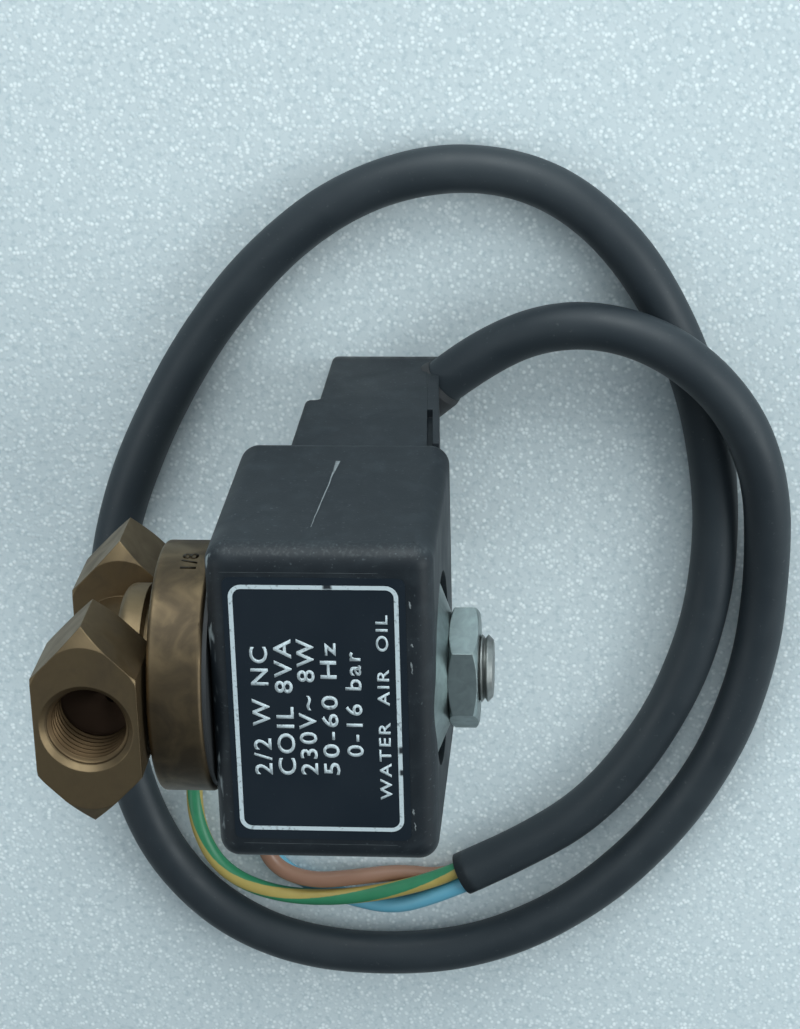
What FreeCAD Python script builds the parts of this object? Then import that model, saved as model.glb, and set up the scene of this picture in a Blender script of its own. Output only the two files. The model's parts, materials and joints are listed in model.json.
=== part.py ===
"""Direct-acting solenoid valve: threaded brass body, encapsulated coil and moulded-on lead.

Millimetres. X runs along the valve axis, from the brass body (-X) to the coil nut (+X). +Z is the
printed face of the coil. The coil's terminal block stands on its end at Z = 0, and the lead lies
around the valve on the same surface. The origin is the middle of the valve's footprint.
"""
import FreeCAD
import Part
import math
import os

V = FreeCAD.Vector

# Valve axis
AXIS_Y = -0.4
AXIS_Z = 55.0

# Coil moulding
COIL_X0 = -5.7
COIL_LENGTH = 26.0
COIL_X1 = COIL_X0 + COIL_LENGTH
COIL_Y0 = -19.9
COIL_Y1 = 20.4
COIL_Z0 = 33.5
COIL_Z1 = 68.0
COIL_FILLET = 2.4
RECESS_R = 11.6
RECESS_DEPTH = 1.5
FRONT_HOLE_R = 6.2
REAR_HOLE_R = 5.3

# Terminal block below the coil, stepped on the brass side and drafted on the nut side
BLOCK_STEP_X = 0.3
BLOCK_FOOT_X = 2.1
BLOCK_STEP_Z = 17.0
BLOCK_RIGHT_FOOT_X = 15.2
BLOCK_DRAFT = 2.2
BLOCK_Y0 = -8.4
BLOCK_Y1 = 19.9
BLOCK_FILLET = 0.8
DRAFT_PER_MM = BLOCK_DRAFT / COIL_Z0
WALL_T = 2.5
COVER_T = 1.5
COVER_SLOT = 0.7
SLOT_DEPTH = 1.1
SLOT_Z0 = 21.0

# Brass body
PORT_X = -19.4
PORT_HALF_SPAN = 17.3
PORT_HEX_LENGTH = 10.0
PORT_HEX_WIDTH = 12.2
PORT_HEX_CORNERS = 24.8
PORT_CHAMFER_R = 2.2
PORT_CHAMFER_H = 1.3
PORT_CHAMFER_SQUEEZE = 0.7
PORT_NECK_R = 5.6
PORT_THREAD_R = 4.86
PORT_THREAD_DEPTH = 8.0
PORT_COUNTERSINK = 0.6
PORT_DRILL_TIP = 1.6
INLET_PASSAGE_R = 1.0
OUTLET_PASSAGE_R = 1.5
OUTLET_DRILL_R = 2.0
HUB_R = 9.8
HUB_X0 = -17.6
GROOVE_R = 7.6
GROOVE_W = 1.8
FLANGE_R = 15.0
FLANGE_X0 = -12.8
FLANGE_X1 = -6.4
FLANGE_EDGE_R = 0.5
HUB_EDGE_R = 1.2
GASKET_T = 0.5
CHAMBER_R = 6.6
CHAMBER_X0 = -13.2
SOCKET_R = 8.2
SOCKET_X0 = -9.4
ORIFICE_R = 0.9
SEAT_R = 3.0
SEAT_X0 = -14.6
SEAT_LIP_X = -12.4
SEAT_LIP_R = 1.5
ORING_SECTION_R = 0.6

# Guide tube, core and plunger
TUBE_R = 5.0
TUBE_BORE_R = 4.65
TUBE_COLLAR_X0 = -8.1
TUBE_COLLAR_T = 1.6
TUBE_END_X = 17.0
CORE_FACE_X = 5.0
CORE_SHOULDER_X = 18.7
SHADING_R = 3.7
SHADING_BORE_R = 2.9
SHADING_DEPTH = 0.9
PLUNGER_R = 4.4
PLUNGER_X0 = -12.0
PLUNGER_STROKE = 1.6
PLUNGER_SLOT_W = 1.0
PLUNGER_SLOT_Z = 3.7
SEAL_R = 2.4
SEAL_DEPTH = 1.1
SPRING_POCKET_R = 3.0
SPRING_POCKET_X = -2.0
SPRING_R = 2.3
SPRING_WIRE_R = 0.28
SPRING_TURNS = 6
STUD_R = 4.0
STUD_PITCH = 0.75
STUD_THREAD_DEPTH = 0.45
STUD_CHAMFER = 0.6
STUD_END_X = 26.4

# Coil fixings
WASHER_R = 10.6
WASHER_T = 0.8
WASHER_RIM_X = 18.85
WASHER_FLAT_R = 6.6
STUD_SEAL_SECTION_R = 0.65
NUT_X0 = 21.35
NUT_T = 3.4
NUT_FLATS = 13.0
NUT_TILT = 38.0
NUT_BORE_R = 4.05
NUT_BEVEL_T = 0.5
NUT_BEVEL_R = 1.0

# Magnetic circuit inside the moulding
YOKE_T = 1.8
YOKE_X0 = -3.6
YOKE_X1 = 17.6
YOKE_HALF_Y = 15.4
YOKE_HALF_Z = 10.6
BOBBIN_BORE_R = 6.1
BOBBIN_TUBE_R = 7.1
BOBBIN_FLANGE_R = 10.5
BOBBIN_FLANGE_T = 1.1
WINDING_R = 10.1
SLEEVE_R = 6.0
SLEEVE_BORE_R = 5.3
SLEEVE_LENGTH = 6.0

# Lead: outer diameter of the sheath and of each insulated core
CABLE_D = 6.3
CORE_D = 2.4
COPPER_R = 0.55
COPPER_LENGTH = 6.0
GLAND_WALL = 0.35
GLAND_LIP = 0.8
GLAND_DEPTH = 5.0

# The route of the lead: out of the gland, over its own end, once round the valve and under the body
CABLE_ROUTE = [
    (16.9, 17.3, 4.6),
    (24.3, 23.6, 5.6),
    (35.3, 27.7, 8.0),
    (46.7, 25.6, 9.9),
    (56.1, 17.6, 10.0),
    (61.1, 5.8, 7.9),
    (61.9, -9.2, 4.6),
    (60.7, -24.4, 3.2),
    (55.7, -39.6, 3.2),
    (47.1, -53.0, 3.2),
    (35.7, -64.2, 3.2),
    (21.9, -71.6, 3.2),
    (6.9, -73.6, 3.2),
    (-7.2, -71.8, 3.2),
    (-17.9, -65.8, 3.2),
    (-25.4, -56.4, 3.2),
    (-29.7, -43.9, 3.2),
    (-31.2, -29.9, 3.2),
    (-30.8, -16.1, 3.2),
    (-28.4, -2.6, 3.2),
    (-22.6, 11.4, 3.2),
    (-14.1, 25.8, 3.2),
    (-3.7, 37.4, 3.2),
    (7.1, 44.6, 3.2),
    (19.5, 47.6, 3.2),
    (31.5, 45.4, 3.2),
    (41.1, 37.8, 3.2),
    (48.1, 26.8, 3.2),
    (52.9, 13.4, 3.2),
    (55.0, -1.8, 3.2),
    (53.7, -17.6, 3.2),
    (48.5, -32.6, 3.2),
    (39.7, -45.8, 3.2),
    (29.9, -53.7, 3.2),
    (19.0, -59.3, 3.2),
]
GREEN_YELLOW_ROUTE = [
    (18.29, -58.25, 3.93),
    (14.0, -60.45, 3.95),
    (2.7, -63.3, 3.9),
    (-8.1, -63.3, 3.9),
    (-16.3, -59.6, 3.9),
    (-20.1, -52.8, 3.0),
    (-20.6, -44.3, 1.5),
    (-18.7, -35.8, 1.4),
]
BLUE_ROUTE = [
    (19.45, -60.49, 3.93),
    (15.2, -62.7, 3.75),
    (8.6, -65.7, 2.4),
    (2.0, -64.9, 1.25),
    (-3.0, -63.0, 1.25),
    (-8.0, -60.0, 1.25),
    (-11.4, -54.8, 1.25),
    (-12.8, -48.8, 1.25),
    (-12.2, -42.4, 1.25),
]
BROWN_ROUTE = [
    (18.87, -59.37, 1.74),
    (15.9, -60.89, 1.57),
    (9.5, -60.3, 1.3),
    (3.2, -60.4, 2.9),
    (-3.6, -60.6, 3.95),
    (-9.0, -58.2, 3.95),
    (-10.8, -52.8, 3.6),
    (-9.4, -46.6, 2.2),
    (-7.6, -40.4, 1.25),
]


def box(x0, x1, y0, y1, z0, z1):
    return Part.makeBox(x1 - x0, y1 - y0, z1 - z0, V(x0, y0, z0))


def rod_x(radius, x0, x1):
    """Cylinder on the valve axis."""
    return Part.makeCylinder(radius, x1 - x0, V(x0, AXIS_Y, AXIS_Z), V(1, 0, 0))


def ring_x(outer, inner, x0, x1):
    return rod_x(outer, x0, x1).cut(rod_x(inner, x0 - 1, x1 + 1))


def turned_x(profile):
    """Solid of revolution about the valve axis from (x, radius) points."""
    points = [V(x, AXIS_Y, AXIS_Z + radius) for x, radius in profile]
    face = Part.Face(Part.makePolygon(points + points[:1]))
    return face.revolve(V(0, AXIS_Y, AXIS_Z), V(1, 0, 0), 360)


def turned_z(profile, x):
    """Solid of revolution about a vertical line at x from (z, radius) points."""
    points = [V(x + radius, AXIS_Y, z) for z, radius in profile]
    face = Part.Face(Part.makePolygon(points + points[:1]))
    return face.revolve(V(x, AXIS_Y, 0), V(0, 0, 1), 360)


def side_prism(profile, y0, y1):
    """Prism along Y from an outline of (x, z) points."""
    points = [V(x, y0, z) for x, z in profile]
    face = Part.Face(Part.makePolygon(points + points[:1]))
    return face.extrude(V(0, y1 - y0, 0))


def fillet_where(shape, radius, wanted):
    """Round the straight edges for which wanted(edge's bounding box) is true."""
    edges = [edge for edge in shape.Edges if wanted(edge.BoundBox)]
    return shape.makeFillet(radius, edges)


def tube_path(route):
    """Straight runs joined by tangent arcs. Returns the wire and the arc radii."""
    points = [V(*point) for point in route]
    edges = []
    radii = []
    start = points[0]
    for before, corner, after in zip(points, points[1:], points[2:]):
        back = before - corner
        ahead = after - corner
        half_turn = (math.pi - back.getAngle(ahead)) / 2
        reach = 0.45 * min(back.Length, ahead.Length)
        radius = reach / math.tan(half_turn)
        enter = corner + back.normalize() * reach
        leave = corner + ahead.normalize() * reach
        inward = (back + ahead).normalize()
        middle = corner + inward * (radius / math.cos(half_turn) - radius)
        edges.append(Part.LineSegment(start, enter).toShape())
        edges.append(Part.Arc(enter, middle, leave).toShape())
        radii.append(radius)
        start = leave
    edges.append(Part.LineSegment(start, points[-1]).toShape())
    return Part.Wire(edges), radii


def cord(name, route, diameter):
    """Round solid along a route, with its bend radii and volume printed."""
    path, radii = tube_path(route)
    direction = V(*route[1]) - V(*route[0])
    section = Part.Wire(Part.makeCircle(diameter / 2, V(*route[0]), direction))
    solid = path.makePipeShell([section], True, False)
    expected = math.pi * diameter ** 2 / 4 * path.Length
    print(name, "length %.1f mm" % path.Length)
    print("  volume / (section x length) %.4f" % (solid.Volume / expected))
    print("  radii in diameters:", " ".join("%.1f" % (radius / diameter) for radius in radii))
    return solid


def gland_frame():
    """Where the sheath starts and the direction in which it leaves."""
    start = V(*CABLE_ROUTE[0])
    return start, (V(*CABLE_ROUTE[1]) - start).normalize()


def hexagon_z(x, width, corners, z0, z1):
    """Six-sided prism along Z with two corners on the Y axis."""
    outline = [(0, corners / 2), (width / 2, corners / 4), (width / 2, -corners / 4)]
    outline += [(-a, -b) for a, b in outline]
    points = [V(x + a, AXIS_Y + b, z0) for a, b in outline]
    return Part.Face(Part.makePolygon(points + points[:1])).extrude(V(0, 0, z1 - z0))


def port_hex(side):
    """One hexagonal port with chamfered corners, above (side 1) or below (side -1) the valve axis."""
    inner = AXIS_Z + side * (PORT_HALF_SPAN - PORT_HEX_LENGTH)
    outer = AXIS_Z + side * PORT_HALF_SPAN
    blank = hexagon_z(PORT_X, PORT_HEX_WIDTH, PORT_HEX_CORNERS, min(inner, outer), max(inner, outer))
    corner_r = PORT_HEX_CORNERS / 2 + 0.1
    face_r = corner_r - PORT_CHAMFER_R
    rise = side * PORT_CHAMFER_H
    bevel = turned_z([(inner, 0), (inner, face_r), (inner + rise, corner_r), (outer - rise, corner_r),
                      (outer, face_r), (outer, 0)], PORT_X)
    squeeze = FreeCAD.Matrix()
    squeeze.A11 = PORT_CHAMFER_SQUEEZE
    squeeze.A14 = PORT_X * (1 - PORT_CHAMFER_SQUEEZE)
    return blank.common(bevel.transformGeometry(squeeze))


def port_bore(side):
    """Threaded bore with its countersink, open at the outer end of a port."""
    outer = AXIS_Z + side * PORT_HALF_SPAN
    bottom = outer - side * PORT_THREAD_DEPTH
    drill_tip = bottom - side * PORT_DRILL_TIP
    mouth = outer - side * PORT_COUNTERSINK
    mouth_r = PORT_THREAD_R + PORT_COUNTERSINK
    return turned_z([(drill_tip, 0), (bottom, PORT_THREAD_R), (mouth, PORT_THREAD_R),
                     (outer, mouth_r), (outer + side, mouth_r), (outer + side, 0)], PORT_X)


def port_passages():
    """Drilled ways: from the inlet into the chamber round the seat, and from the seat to the outlet."""
    outlet_x = Part.makeCylinder(OUTLET_PASSAGE_R, SEAT_X0 - PORT_X, V(PORT_X, AXIS_Y, AXIS_Z), V(1, 0, 0))
    outlet_top = V(PORT_X, AXIS_Y, AXIS_Z + OUTLET_PASSAGE_R)
    outlet_z = Part.makeCylinder(OUTLET_DRILL_R, PORT_HALF_SPAN - 4, outlet_top, V(0, 0, -1))
    inlet_start = V(PORT_X - 1.4, AXIS_Y, AXIS_Z + 10.3)
    inlet_run = V(CHAMBER_X0 + 1.4, AXIS_Y, AXIS_Z + 3.8) - inlet_start
    inlet = Part.makeCylinder(INLET_PASSAGE_R, inlet_run.Length, inlet_start, inlet_run)
    return [outlet_x, outlet_z, inlet]


def port_body():
    """Two ports on a neck, and the hub and flange that carry the coil, bored for the seat and the tube."""
    flange = rod_x(FLANGE_R, FLANGE_X0, FLANGE_X1)
    flange = fillet_where(flange, FLANGE_EDGE_R, lambda b: b.XLength < 0.01)
    hub = rod_x(HUB_R, HUB_X0, FLANGE_X0 + 1)
    hub = fillet_where(hub, HUB_EDGE_R, lambda b: b.XMax < HUB_X0 + 0.01)
    hub = hub.cut(ring_x(HUB_R + 1, GROOVE_R, FLANGE_X0 - GROOVE_W, FLANGE_X0))
    neck_end = PORT_HALF_SPAN - PORT_HEX_LENGTH + 1
    neck = Part.makeCylinder(PORT_NECK_R, 2 * neck_end, V(PORT_X, AXIS_Y, AXIS_Z - neck_end))
    body = flange.fuse([hub, neck, port_hex(1), port_hex(-1)])
    chamber = rod_x(CHAMBER_R, CHAMBER_X0, FLANGE_X1 + 1)
    socket = rod_x(SOCKET_R, SOCKET_X0, FLANGE_X1 + 1)
    seat = rod_x(SEAT_R, SEAT_X0, CHAMBER_X0 + 1)
    hollow = chamber.fuse([socket, seat] + port_passages() + [port_bore(1), port_bore(-1)])
    return body.cut(hollow).removeSplitter()


def seat_nozzle():
    blank = turned_x([(SEAT_X0, 0), (SEAT_X0, SEAT_R), (CHAMBER_X0 + 0.2, SEAT_R),
                      (SEAT_LIP_X, SEAT_LIP_R), (SEAT_LIP_X, 0)])
    return blank.cut(rod_x(ORIFICE_R, SEAT_X0 - 1, SEAT_LIP_X + 1))


def tube_oring():
    radius = (SOCKET_R + CHAMBER_R) / 2
    return Part.makeTorus(radius, ORING_SECTION_R, V(SOCKET_X0 + 0.65, AXIS_Y, AXIS_Z), V(1, 0, 0))


def guide_tube():
    collar = ring_x(SOCKET_R - 0.05, TUBE_BORE_R, TUBE_COLLAR_X0, TUBE_COLLAR_X0 + TUBE_COLLAR_T)
    return collar.fuse(ring_x(TUBE_R, TUBE_BORE_R, TUBE_COLLAR_X0, TUBE_END_X)).removeSplitter()


def fixed_core():
    """Core closing the tube, with the threaded stud that holds the coil."""
    profile = [(CORE_FACE_X, 0), (CORE_FACE_X, TUBE_BORE_R), (TUBE_END_X, TUBE_BORE_R),
               (TUBE_END_X, TUBE_R), (CORE_SHOULDER_X, TUBE_R), (CORE_SHOULDER_X, STUD_R)]
    ridge_x = STUD_END_X - STUD_CHAMFER
    half_groove = STUD_PITCH * 0.42
    turns = int((ridge_x - CORE_SHOULDER_X - STUD_CHAMFER) / STUD_PITCH)
    for turn in range(turns, 0, -1):
        root_x = ridge_x - (turn - 0.5) * STUD_PITCH
        profile += [(root_x - half_groove, STUD_R), (root_x, STUD_R - STUD_THREAD_DEPTH),
                    (root_x + half_groove, STUD_R)]
    profile += [(ridge_x, STUD_R), (STUD_END_X, STUD_R - STUD_CHAMFER), (STUD_END_X, 0)]
    groove = ring_x(SHADING_R, SHADING_BORE_R, CORE_FACE_X - 1, CORE_FACE_X + SHADING_DEPTH)
    return turned_x(profile).cut(groove)


def shading_ring():
    return ring_x(SHADING_R, SHADING_BORE_R, CORE_FACE_X + 0.05, CORE_FACE_X + SHADING_DEPTH)


def plunger():
    end_x = CORE_FACE_X - PLUNGER_STROKE - 0.1
    blank = rod_x(PLUNGER_R, PLUNGER_X0, end_x)
    blank = fillet_where(blank, 0.4, lambda b: b.XLength < 0.01)
    slot = box(PLUNGER_X0 - 1, end_x + 1, AXIS_Y - PLUNGER_SLOT_W / 2, AXIS_Y + PLUNGER_SLOT_W / 2,
               AXIS_Z + PLUNGER_SLOT_Z, AXIS_Z + TUBE_R)
    seal_pocket = rod_x(SEAL_R, PLUNGER_X0 - 1, PLUNGER_X0 + SEAL_DEPTH)
    spring_pocket = rod_x(SPRING_POCKET_R, SPRING_POCKET_X, end_x + 1)
    return blank.cut(seal_pocket).cut(spring_pocket).cut(slot)


def plunger_seal():
    return rod_x(SEAL_R, SEAT_LIP_X, PLUNGER_X0 + SEAL_DEPTH)


def return_spring():
    start_x = SPRING_POCKET_X + SPRING_WIRE_R
    length = CORE_FACE_X - SPRING_WIRE_R - start_x
    helix = Part.makeHelix(length / SPRING_TURNS, length, SPRING_R)
    section = Part.Wire(Part.makeCircle(SPRING_WIRE_R, V(SPRING_R, 0, 0), V(0, 1, 0)))
    coil = helix.makePipeShell([section], True, True)
    coil.rotate(V(0, 0, 0), V(0, 1, 0), 90)
    coil.translate(V(start_x, AXIS_Y, AXIS_Z))
    return coil


def terminal_block():
    """Outer shape of the block, drafted on the nut side where its cover sits."""
    top_z = COIL_Z0 + 4
    outline = [(BLOCK_STEP_X, top_z), (BLOCK_STEP_X, BLOCK_STEP_Z), (BLOCK_FOOT_X, BLOCK_STEP_Z),
               (BLOCK_FOOT_X, 0), (BLOCK_RIGHT_FOOT_X, 0),
               (BLOCK_RIGHT_FOOT_X + DRAFT_PER_MM * top_z, top_z)]
    block = side_prism(outline, BLOCK_Y0, BLOCK_Y1)
    left = BLOCK_FOOT_X + 0.1
    return fillet_where(block, BLOCK_FILLET, lambda b: b.XMax < left and min(b.XLength, b.YLength) < 0.01)


def coil_moulding():
    coil = box(COIL_X0, COIL_X1, COIL_Y0, COIL_Y1, COIL_Z0, COIL_Z1)
    coil = coil.makeFillet(COIL_FILLET, coil.Edges)
    solid = coil.fuse(terminal_block())
    clear = 0.1
    half_y = YOKE_HALF_Y + clear
    half_z = YOKE_HALF_Z + clear
    cavity = box(YOKE_X0 - clear, YOKE_X1 + clear, AXIS_Y - half_y, AXIS_Y + half_y,
                 AXIS_Z - half_z, AXIS_Z + half_z)
    channel = box(4.0, 13.0, AXIS_Y - 4, AXIS_Y + 4, 30, AXIS_Z - YOKE_HALF_Z)
    wiring_space = box(WALL_T + BLOCK_FOOT_X, COIL_X1, BLOCK_Y0 + WALL_T, BLOCK_Y1 - 3, 3.0, 31.0)
    start, direction = gland_frame()
    lead_hole = Part.makeCylinder(2.4, 8, start, -direction)
    lead_seat = Part.makeCylinder(CABLE_D / 2, 20, start, direction)
    front_hole = rod_x(FRONT_HOLE_R, COIL_X0 - 1, 0)
    rear_hole = rod_x(REAR_HOLE_R, COIL_X1 - 6, COIL_X1 + 1)
    recess = rod_x(RECESS_R, COIL_X1 - RECESS_DEPTH, COIL_X1 + 1)
    hollow = cavity.fuse([channel, wiring_space, lead_hole, lead_seat, front_hole, rear_hole, recess])
    return solid.cut(hollow).removeSplitter()


def drafted_plate(offset, thickness, y0, y1, z0, z1):
    """Plate parallel to the drafted nut side of the block, offset outward from it."""
    low = BLOCK_RIGHT_FOOT_X + offset + DRAFT_PER_MM * z0
    high = BLOCK_RIGHT_FOOT_X + offset + DRAFT_PER_MM * z1
    return side_prism([(low, z0), (low + thickness, z0), (high + thickness, z1), (high, z1)], y0, y1)


def terminal_cover():
    """Cover of the wiring space, with a slot behind each side of its upper edge to prise it off."""
    top_z = COIL_Z0 - 0.2
    plate = drafted_plate(0, COVER_T, BLOCK_Y0, BLOCK_Y1, 0, top_z)
    slots = [drafted_plate(0, COVER_SLOT, y, y + 2 * SLOT_DEPTH, SLOT_Z0, COIL_Z0)
             for y in (BLOCK_Y0 - SLOT_DEPTH, BLOCK_Y1 - SLOT_DEPTH)]
    start, direction = gland_frame()
    socket = Part.makeCylinder(CABLE_D / 2 + GLAND_WALL, 40, start - direction * 20, direction)
    return plate.cut(slots + [socket]).removeSplitter()


def cable_gland():
    """Rubber gland moulded into the corner of the block; the sheath starts at the bottom of its bore."""
    start, direction = gland_frame()
    outer_r = CABLE_D / 2 + GLAND_WALL
    proud = GLAND_LIP / 2
    sleeve = Part.makeCylinder(outer_r, GLAND_DEPTH + proud, start - direction * GLAND_DEPTH, direction)
    lip = Part.makeCone(outer_r, CABLE_D / 2 + 0.1, GLAND_LIP, start + direction * proud, direction)
    bore = Part.makeCylinder(CABLE_D / 2, 20, start, direction)
    block = terminal_block().fuse(box(-20, 40, -30, 40, -10, 0))
    return sleeve.fuse(lip).cut(bore).cut(block).removeSplitter()


def yoke_frame():
    outer = box(YOKE_X0, YOKE_X1 - YOKE_T, AXIS_Y - YOKE_HALF_Y, AXIS_Y + YOKE_HALF_Y,
                AXIS_Z - YOKE_HALF_Z, AXIS_Z + YOKE_HALF_Z)
    inner = box(YOKE_X0 + YOKE_T, YOKE_X1, AXIS_Y - YOKE_HALF_Y + YOKE_T, AXIS_Y + YOKE_HALF_Y - YOKE_T,
                AXIS_Z - YOKE_HALF_Z - 1, AXIS_Z + YOKE_HALF_Z + 1)
    return outer.cut(inner).cut(rod_x(SLEEVE_R, YOKE_X0 - 1, YOKE_X0 + YOKE_T + 1))


def yoke_end_plate():
    plate = box(YOKE_X1 - YOKE_T, YOKE_X1, AXIS_Y - YOKE_HALF_Y, AXIS_Y + YOKE_HALF_Y,
                AXIS_Z - YOKE_HALF_Z, AXIS_Z + YOKE_HALF_Z)
    return plate.cut(rod_x(SLEEVE_BORE_R, YOKE_X0, YOKE_X1 + 1))


def flux_sleeve():
    return ring_x(SLEEVE_R, SLEEVE_BORE_R, YOKE_X0, YOKE_X0 + SLEEVE_LENGTH)


def bobbin():
    x0 = YOKE_X0 + YOKE_T
    x1 = YOKE_X1 - YOKE_T
    tube = rod_x(BOBBIN_TUBE_R, x0, x1)
    flanges = [rod_x(BOBBIN_FLANGE_R, x0, x0 + BOBBIN_FLANGE_T),
               rod_x(BOBBIN_FLANGE_R, x1 - BOBBIN_FLANGE_T, x1)]
    return tube.fuse(flanges).cut(rod_x(BOBBIN_BORE_R, x0 - 1, x1 + 1)).removeSplitter()


def winding():
    x0 = YOKE_X0 + YOKE_T + BOBBIN_FLANGE_T
    x1 = YOKE_X1 - YOKE_T - BOBBIN_FLANGE_T
    return ring_x(WINDING_R, BOBBIN_TUBE_R, x0, x1)


def terminal_posts():
    """Three flat terminals standing on the wall of the wiring space, for line, neutral and earth."""
    posts = [box(4.6, 5.4, y, y + 3.0, 12.0, 27.0) for y in (-3.5, 2.0, 7.5)]
    return Part.makeCompound(posts)


def inner_leads():
    """The lead's three cores inside the wiring space, each run to its own terminal."""
    leads = []
    for index, y in enumerate((-2.0, 3.5, 9.0)):
        root = V(13.8, 15.6, 4.4 + 1.9 * index)
        tip = V(6.4, y, 13.5 + 2.5 * index)
        leads.append(Part.makeCylinder(0.9, (tip - root).Length, root, tip - root))
    return Part.makeCompound(leads)


def flange_gasket():
    return ring_x(FLANGE_R - 0.6, SOCKET_R + 0.3, FLANGE_X1, FLANGE_X1 + GASKET_T)


def dished_washer():
    rim_x = WASHER_RIM_X
    flat_x = NUT_X0 - 0.05
    bore_r = STUD_R + 0.3
    return turned_x([(flat_x - WASHER_T, bore_r), (flat_x, bore_r), (flat_x, WASHER_FLAT_R),
                     (rim_x + WASHER_T, WASHER_R), (rim_x, WASHER_R), (flat_x - WASHER_T, WASHER_FLAT_R)])


def stud_seal():
    middle = V(COIL_X1 - RECESS_DEPTH + STUD_SEAL_SECTION_R, AXIS_Y, AXIS_Z)
    return Part.makeTorus(TUBE_R + 0.35, STUD_SEAL_SECTION_R, middle, V(1, 0, 0))


def hex_nut():
    corner_r = NUT_FLATS / math.sqrt(3)
    x1 = NUT_X0 + NUT_T
    points = []
    for step in range(7):
        angle = math.radians(NUT_TILT + 60 * step)
        points.append(V(NUT_X0, AXIS_Y + corner_r * math.sin(angle), AXIS_Z + corner_r * math.cos(angle)))
    blank = Part.Face(Part.makePolygon(points)).extrude(V(NUT_T, 0, 0))
    outer_r = corner_r + 0.05
    bevel_r = corner_r - NUT_BEVEL_R
    turned = turned_x([(NUT_X0, 0), (NUT_X0, bevel_r), (NUT_X0 + NUT_BEVEL_T, outer_r),
                       (x1 - NUT_BEVEL_T, outer_r), (x1, bevel_r), (x1, 0)])
    return blank.common(turned).cut(rod_x(NUT_BORE_R, NUT_X0 - 1, x1 + 1))


def copper_ends():
    """Bared copper at the free end of each core."""
    ends = []
    for route in (BROWN_ROUTE, BLUE_ROUTE, GREEN_YELLOW_ROUTE):
        tip = V(*route[-1])
        along = (tip - V(*route[-2])).normalize()
        ends.append(Part.makeCylinder(COPPER_R, COPPER_LENGTH, tip, along))
    return Part.makeCompound(ends)


NODES = {
    "port_body": port_body(),
    "seat_nozzle": seat_nozzle(),
    "tube_oring": tube_oring(),
    "guide_tube": guide_tube(),
    "fixed_core": fixed_core(),
    "shading_ring": shading_ring(),
    "plunger": plunger(),
    "plunger_seal": plunger_seal(),
    "return_spring": return_spring(),
    "flange_gasket": flange_gasket(),
    "coil_moulding": coil_moulding(),
    "terminal_cover": terminal_cover(),
    "cable_gland": cable_gland(),
    "yoke_frame": yoke_frame(),
    "yoke_end_plate": yoke_end_plate(),
    "flux_sleeve": flux_sleeve(),
    "bobbin": bobbin(),
    "winding": winding(),
    "terminal_posts": terminal_posts(),
    "inner_leads": inner_leads(),
    "dished_washer": dished_washer(),
    "stud_seal": stud_seal(),
    "hex_nut": hex_nut(),
    "cable_sheath": cord("cable_sheath", CABLE_ROUTE, CABLE_D),
    "core_brown": cord("core_brown", BROWN_ROUTE, CORE_D),
    "core_blue": cord("core_blue", BLUE_ROUTE, CORE_D),
    "core_green_yellow": cord("core_green_yellow", GREEN_YELLOW_ROUTE, CORE_D),
    "copper_ends": copper_ends(),
}

os.makedirs("parts", exist_ok=True)
for node, shape in NODES.items():
    state = (node, shape.isValid(), len(shape.Solids), shape.Volume)
    print("%-18s valid %s solids %d volume %.1f" % state)
    shape.exportStep(os.path.join("parts", node + ".step"))
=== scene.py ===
"""Looks of a solenoid valve: black moulded coil, brass ported body, plated nut, grey-black lead.

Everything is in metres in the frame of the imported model: X along the valve axis (brass at -X, nut at +X),
Z up out of the coil's printed face, the floor at Z = 0.
"""
import json
import math
import random

import bmesh
import bpy
from mathutils import Matrix, Vector


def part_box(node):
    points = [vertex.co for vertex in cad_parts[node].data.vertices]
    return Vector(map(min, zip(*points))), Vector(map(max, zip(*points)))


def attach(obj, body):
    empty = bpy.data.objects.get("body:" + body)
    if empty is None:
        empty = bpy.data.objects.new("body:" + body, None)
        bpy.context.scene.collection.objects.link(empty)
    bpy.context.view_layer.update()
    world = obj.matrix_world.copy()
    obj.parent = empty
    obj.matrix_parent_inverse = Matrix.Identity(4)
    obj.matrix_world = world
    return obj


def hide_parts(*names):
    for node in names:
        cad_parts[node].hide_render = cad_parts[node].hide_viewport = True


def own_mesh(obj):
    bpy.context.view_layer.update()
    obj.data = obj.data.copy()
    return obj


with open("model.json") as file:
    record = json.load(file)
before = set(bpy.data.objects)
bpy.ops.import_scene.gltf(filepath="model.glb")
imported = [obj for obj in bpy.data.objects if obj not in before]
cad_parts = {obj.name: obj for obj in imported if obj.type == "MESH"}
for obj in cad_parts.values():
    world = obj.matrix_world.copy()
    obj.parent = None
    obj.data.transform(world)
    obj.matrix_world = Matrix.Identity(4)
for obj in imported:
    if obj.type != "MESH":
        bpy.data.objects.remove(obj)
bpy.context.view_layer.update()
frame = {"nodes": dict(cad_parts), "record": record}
MM = 0.001

# ---------------------------------------------------------------- places taken from the frame

mounts = {mount["name"]: mount for mount in frame["record"]["mounts"]}
INLET = Vector(mounts["port_inlet"]["pos_m"])
OUTLET = Vector(mounts["port_outlet"]["pos_m"])
THREAD_R = mounts["port_inlet"]["dims"]["r_mm"] * MM
THREAD_LENGTH = mounts["port_inlet"]["dims"]["length_mm"] * MM
COIL_LOW, COIL_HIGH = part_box("coil_moulding")
FACE_Z = COIL_HIGH.z
AXIS_Z = (INLET.z + OUTLET.z) / 2
FLANGE_R = 15.0 * MM
FLANGE_MIDDLE_X = -9.6 * MM

# ---------------------------------------------------------------- the lead and its cores

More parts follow.
